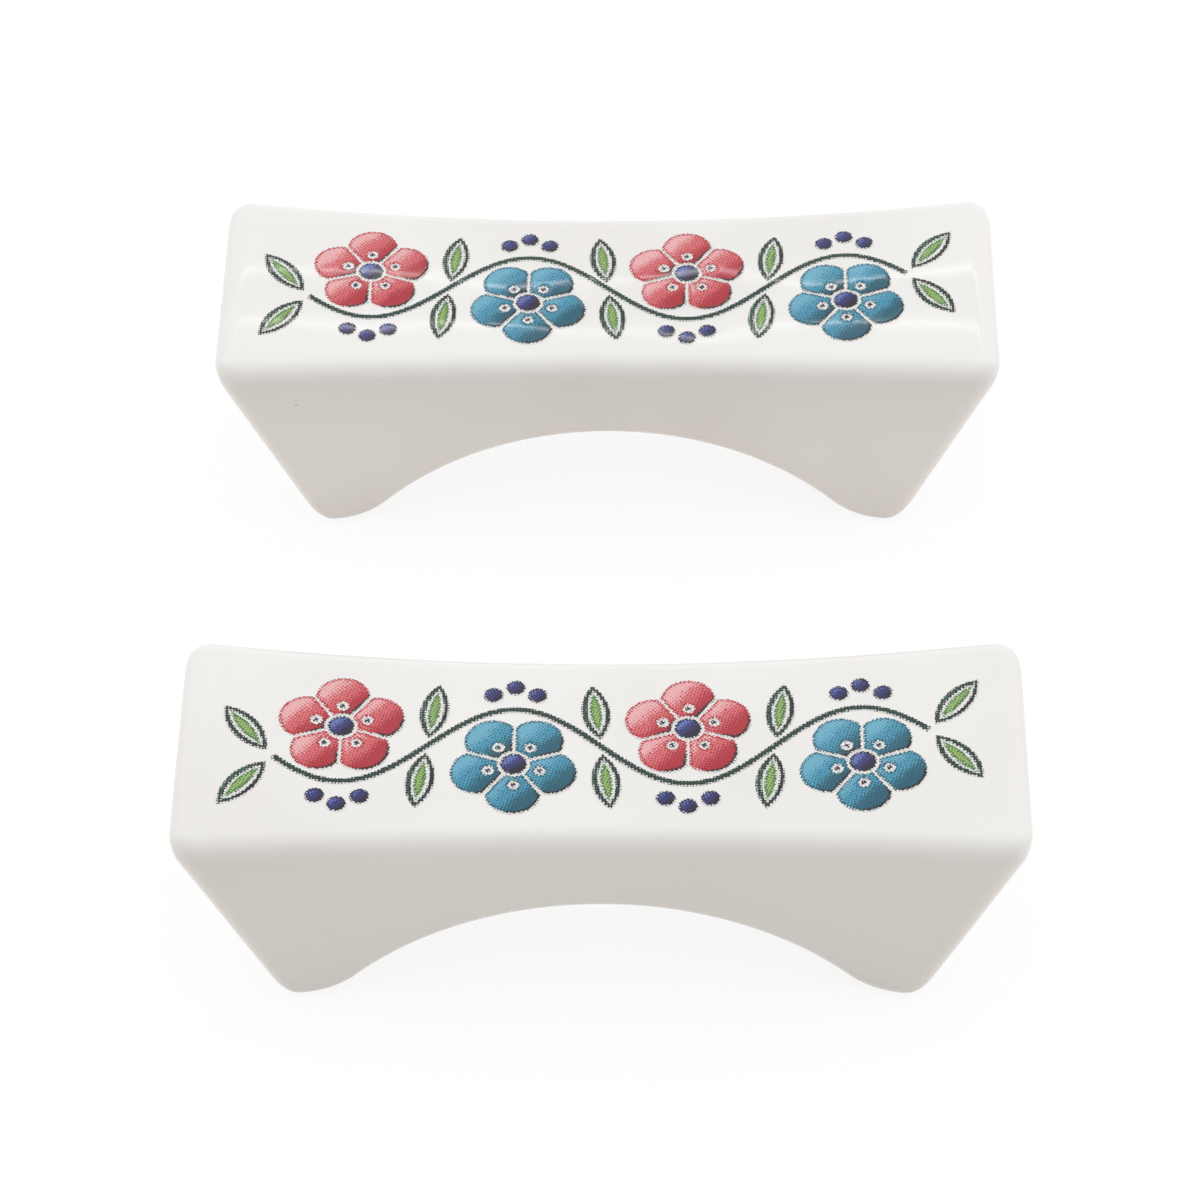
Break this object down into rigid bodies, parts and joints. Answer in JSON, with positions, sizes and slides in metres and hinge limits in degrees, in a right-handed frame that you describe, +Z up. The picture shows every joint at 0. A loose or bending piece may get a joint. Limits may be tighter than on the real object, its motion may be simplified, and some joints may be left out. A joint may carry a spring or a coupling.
{
  "type": "chopstick rest",
  "caption": "Pair of white glazed porcelain chopstick rests: low arched bridges with hollowed tops and leaning ends, each printed with a vine of five-petalled blossoms.",
  "frame": {"origin": "on the table, midway between the two rests", "axes": "+Z up, +X along the length of each rest, +Y from the front rest to the rear rest"},
  "size_m": [0.0658, 0.0742, 0.0182],
  "materials": {
    "porcelain": "clear gloss glaze, bare on the feet",
    "green_ink": "fired glossy",
    "lime_ink": "fired glossy",
    "rose_ink": "fired glossy",
    "sky_ink": "fired glossy",
    "indigo_ink": "fired glossy"
  },
  "bodies": {
    "front_rest": {"front_rest": "porcelain", "front_green_print": "green_ink", "front_lime_print": "lime_ink", "front_rose_print": "rose_ink", "front_sky_print": "sky_ink", "front_indigo_print": "indigo_ink"},
    "rear_rest": {"rear_rest": "porcelain", "rear_green_print": "green_ink", "rear_lime_print": "lime_ink", "rear_rose_print": "rose_ink", "rear_sky_print": "sky_ink", "rear_indigo_print": "indigo_ink"}
  },
  "joints": [
    {"name": "rear_rest_lift", "type": "slide", "parent": "front_rest", "child": "rear_rest", "axis": [0, 0, 1], "range_m": [0, 0.04]}
  ]
}
